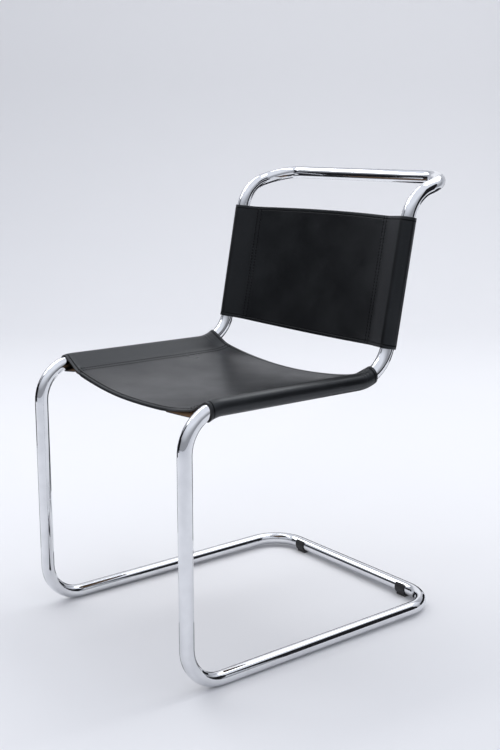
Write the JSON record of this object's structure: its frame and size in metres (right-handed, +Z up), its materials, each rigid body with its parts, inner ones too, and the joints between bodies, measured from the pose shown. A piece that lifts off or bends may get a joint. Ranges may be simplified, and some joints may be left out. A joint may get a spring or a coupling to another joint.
{
  "type": "cantilever chair",
  "caption": "Armless cantilever chair: a continuous loop of bent chromed tube with a slung leather seat and a slung leather back.",
  "frame": {"origin": "on the floor, under the middle of the chair's bounding box", "axes": "+Z up, the sitter faces -Y, +X is the sitter's left"},
  "size_m": [0.506, 0.617, 0.84],
  "materials": {
    "chromed_tube": "mirror-bright chrome plating on bent steel tube",
    "plain_steel": "turned bright steel, hidden inside the tube",
    "screw_steel": "zinc-plated countersunk screws",
    "glide_plastic": "black moulded nylon, matte",
    "saddle_leather": "thick black saddle leather, smooth with a dull sheen, raw brown flesh side"
  },
  "bodies": {
    "root": {"frame_tube": "chromed_tube", "rear_floor_bar": "chromed_tube", "joint_plug_left": "plain_steel", "joint_plug_right": "plain_steel", "plug_screws": "screw_steel", "floor_glide_left": "glide_plastic", "floor_glide_right": "glide_plastic", "seat_sling": "saddle_leather", "back_sling": "saddle_leather"}
  },
  "joints": []
}
